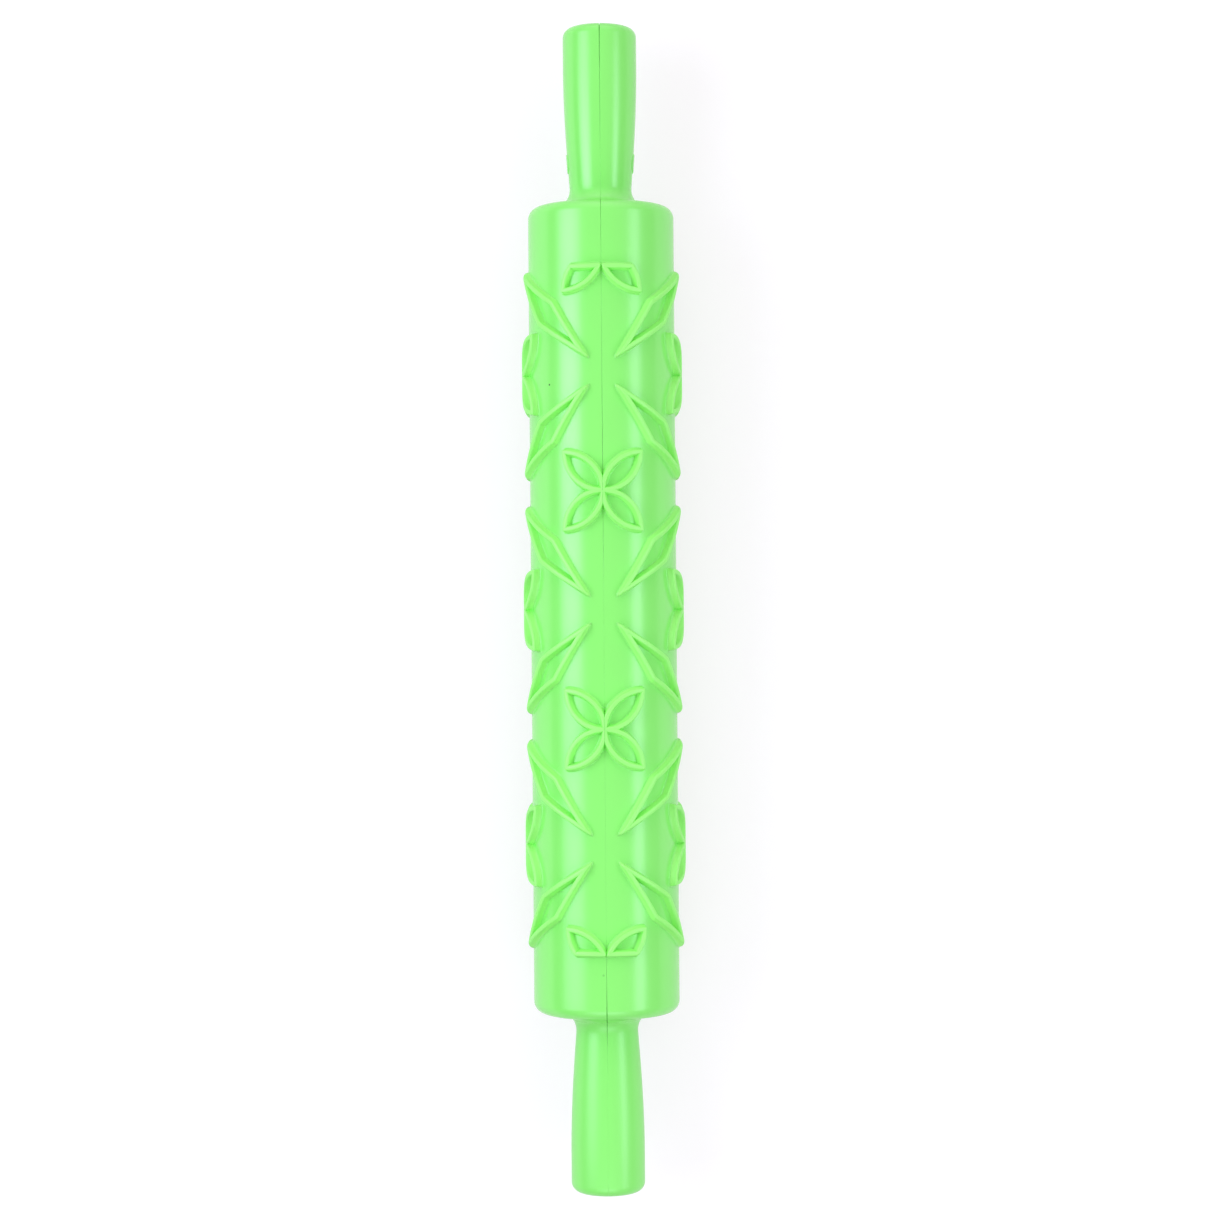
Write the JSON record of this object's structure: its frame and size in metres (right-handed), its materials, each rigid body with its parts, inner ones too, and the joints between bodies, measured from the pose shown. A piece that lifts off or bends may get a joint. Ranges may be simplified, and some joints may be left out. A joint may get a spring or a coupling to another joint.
{
  "type": "embossing roller",
  "caption": "Hollow moulded embossing roller with fixed grip handles and a raised flower and diamond pattern round its body, made as two matching half shells.",
  "frame": {"origin": "centre of the roller: on its axis, halfway between the handle ends", "axes": "+Y along the roller's axis towards the handle with the two small pads; +Z towards the seam seen from the front; +X to the right, square to the plane on which the two half shells meet"},
  "size_m": [0.0528, 0.3834, 0.0528],
  "materials": {
    "shell_plastic": "bright green moulded plastic, satin to gloss, fine mould texture"
  },
  "bodies": {
    "root": {"right_half_shell": "shell_plastic", "left_half_shell": "shell_plastic"}
  },
  "joints": []
}
